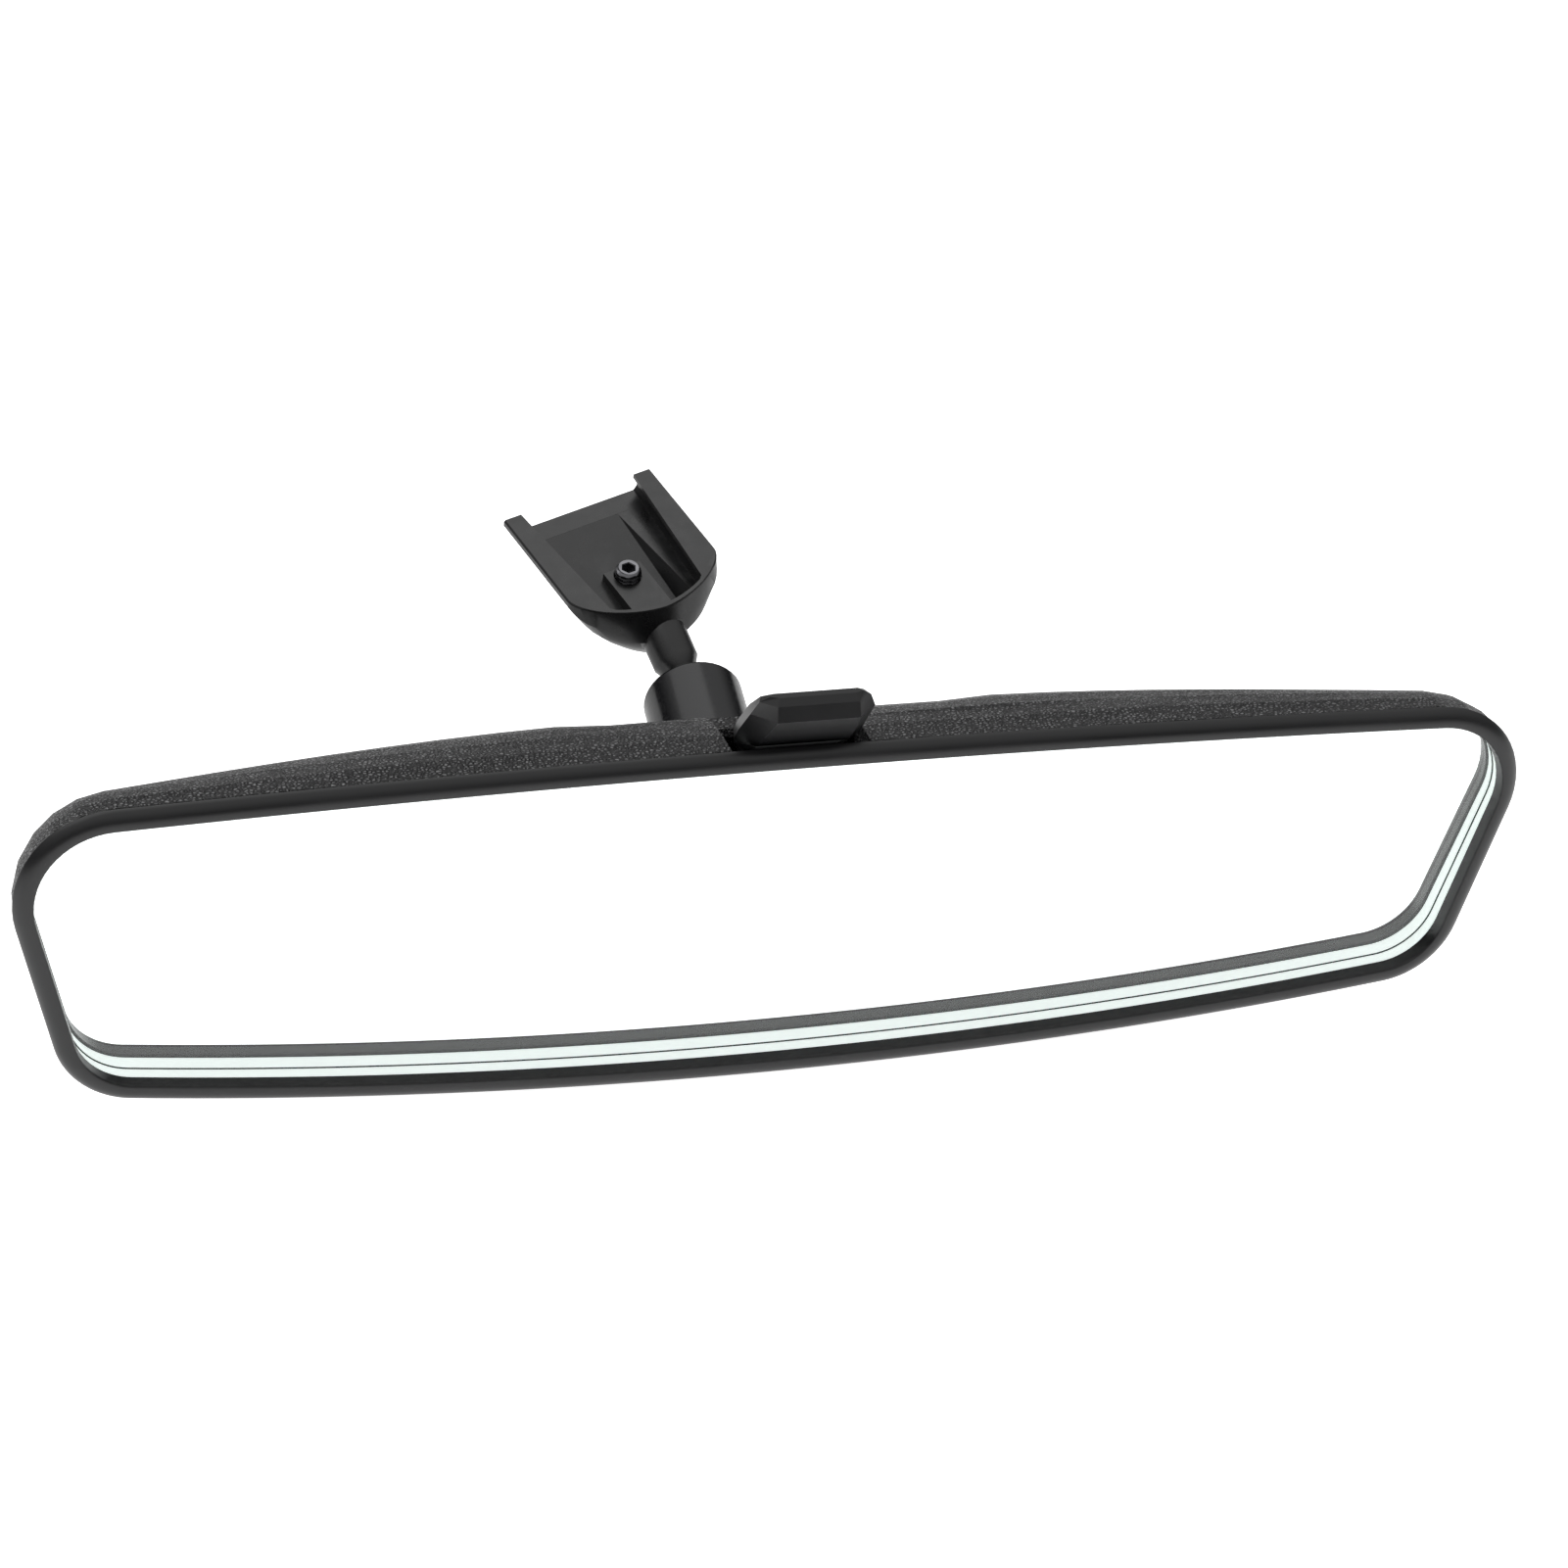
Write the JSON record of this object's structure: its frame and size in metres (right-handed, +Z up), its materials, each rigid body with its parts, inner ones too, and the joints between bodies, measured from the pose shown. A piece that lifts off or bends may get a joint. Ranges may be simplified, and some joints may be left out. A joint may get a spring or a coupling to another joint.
{
  "type": "interior rear-view mirror",
  "caption": "Wide day/night interior rear-view mirror with a finger lever, on a double-ball tube with a channel bracket that slides onto a windshield button.",
  "frame": {"origin": "on the bracket channel's raised pad, where the windshield button bears", "axes": "+X along the mirror's length, +Y from the glass towards the windshield, +Z up as the mirror is shown, with the finger tab on top"},
  "size_m": [0.2539, 0.1148, 0.0732],
  "materials": {
    "cast_paint": "satin black paint on die-cast metal",
    "black_steel": "black oxide",
    "nylon": "natural nylon",
    "bright_steel": "zinc-plated steel",
    "tube_plastic": "smooth black",
    "satin_plastic": "smooth satin black",
    "grain_plastic": "fine leather grain, black",
    "mirror_glass": "rear-silvered wedge glass",
    "backing_film": "grey adhesive film"
  },
  "bodies": {
    "bracket": {"windshield_bracket": "cast_paint", "bracket_set_screw": "black_steel"},
    "upper_liner": {"upper_ball_liner": "nylon"},
    "upper_seat": {"upper_spring_seat": "nylon"},
    "tube": {"mount_tube": "tube_plastic", "mount_spring": "bright_steel", "lower_spring_seat": "nylon"},
    "lower_liner": {"lower_ball_liner": "nylon"},
    "stud_plate": {"head_ball_stud": "cast_paint", "stud_washer": "bright_steel", "stud_nut": "bright_steel", "toggle_plate": "bright_steel"},
    "head": {"rear_housing": "grain_plastic", "front_bezel": "satin_plastic", "mirror_glass": "mirror_glass", "backing_film": "backing_film", "detent_spring": "bright_steel", "detent_screw_1": "bright_steel", "detent_screw_2": "bright_steel", "plate_pivot_pin": "bright_steel", "lever_pivot_pin": "bright_steel"},
    "lever": {"toggle_lever": "satin_plastic", "lever_crank_pin": "bright_steel"}
  },
  "joints": [
    {"name": "upper_pitch", "type": "hinge", "parent": "bracket", "child": "upper_liner", "pos_m": [0.00452, -0.01739, -0.01145], "axis": [1, 0, 0], "range_deg": [-10, 10]},
    {"name": "upper_yaw", "type": "hinge", "parent": "upper_liner", "child": "upper_seat", "pos_m": [0.00452, -0.01739, -0.01145], "axis": [0, 0, 1], "range_deg": [-10, 10]},
    {"name": "tube_roll", "type": "hinge", "parent": "upper_seat", "child": "tube", "pos_m": [0.00452, -0.01739, -0.01145], "axis": [0.0541, 0.9686, 0.2427], "range_deg": [-20, 20]},
    {"name": "head_pitch", "type": "hinge", "parent": "tube", "child": "lower_liner", "pos_m": [0.00251, -0.05339, -0.02047], "axis": [1, 0, 0], "range_deg": [-15, 15]},
    {"name": "head_yaw", "type": "hinge", "parent": "lower_liner", "child": "stud_plate", "pos_m": [0.00251, -0.05339, -0.02047], "axis": [0, 0, 1], "range_deg": [-15, 15]},
    {"name": "day_night_tilt", "type": "hinge", "parent": "stud_plate", "child": "head", "pos_m": [0.00251, -0.07289, -0.03297], "axis": [-1, 0, 0], "range_deg": [0, 4]},
    {"name": "lever_flip", "type": "hinge", "parent": "head", "child": "lever", "pos_m": [0.00251, -0.07379, 0.01033], "axis": [-1, 0, 0], "range_deg": [0, 52]}
  ],
  "couplings": [
    {"joint": "lever_flip", "follows": "day_night_tilt", "ratio": 13}
  ]
}
